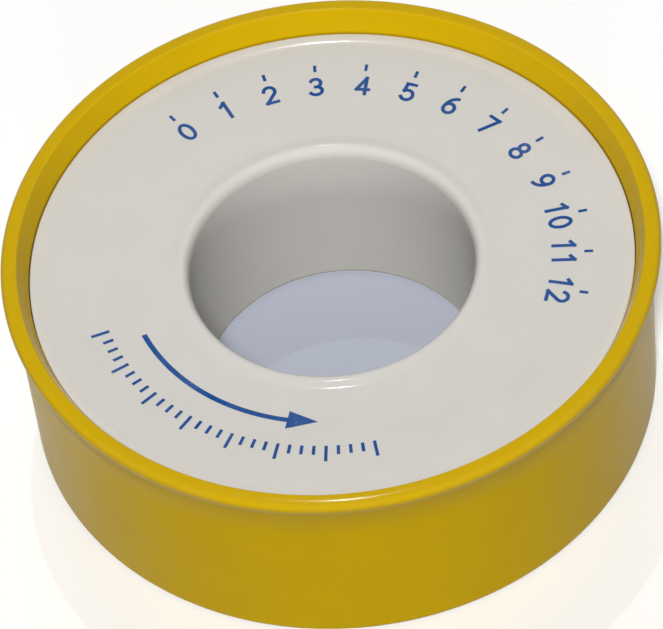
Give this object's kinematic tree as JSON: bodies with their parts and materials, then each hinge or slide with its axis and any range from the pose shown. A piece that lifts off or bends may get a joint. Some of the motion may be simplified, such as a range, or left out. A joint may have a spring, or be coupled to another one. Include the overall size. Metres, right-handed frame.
{
  "type": "thread seal tape roll",
  "caption": "Round roll of thread seal tape: a flanged spool with a wide bore carries the wound tape and sits recessed in a round case with a flared rim.",
  "frame": {"origin": "on the roll's axis, in the plane of the two rings that the case stands on", "axes": "+Z along the axis, from the case's floor towards the spool's face; +X at the start of the tape's last turn"},
  "size_m": [0.052, 0.052, 0.0172],
  "materials": {
    "case_plastic": "satin",
    "spool_plastic": "satin",
    "tape": "matte"
  },
  "bodies": {
    "case": {"case": "case_plastic"},
    "spool": {"spool": "spool_plastic"},
    "tape": {"tape_roll": "tape", "tape_last_turn": "tape"}
  },
  "joints": [
    {"name": "spool_pull", "type": "slide", "parent": "case", "child": "spool", "axis": [0, 0, 1], "range_m": [0, 0.02]},
    {"name": "tape_turn", "type": "hinge", "parent": "spool", "child": "tape", "pos_m": [0, 0, 0.00745], "axis": [0, 0, 1], "continuous": true}
  ]
}
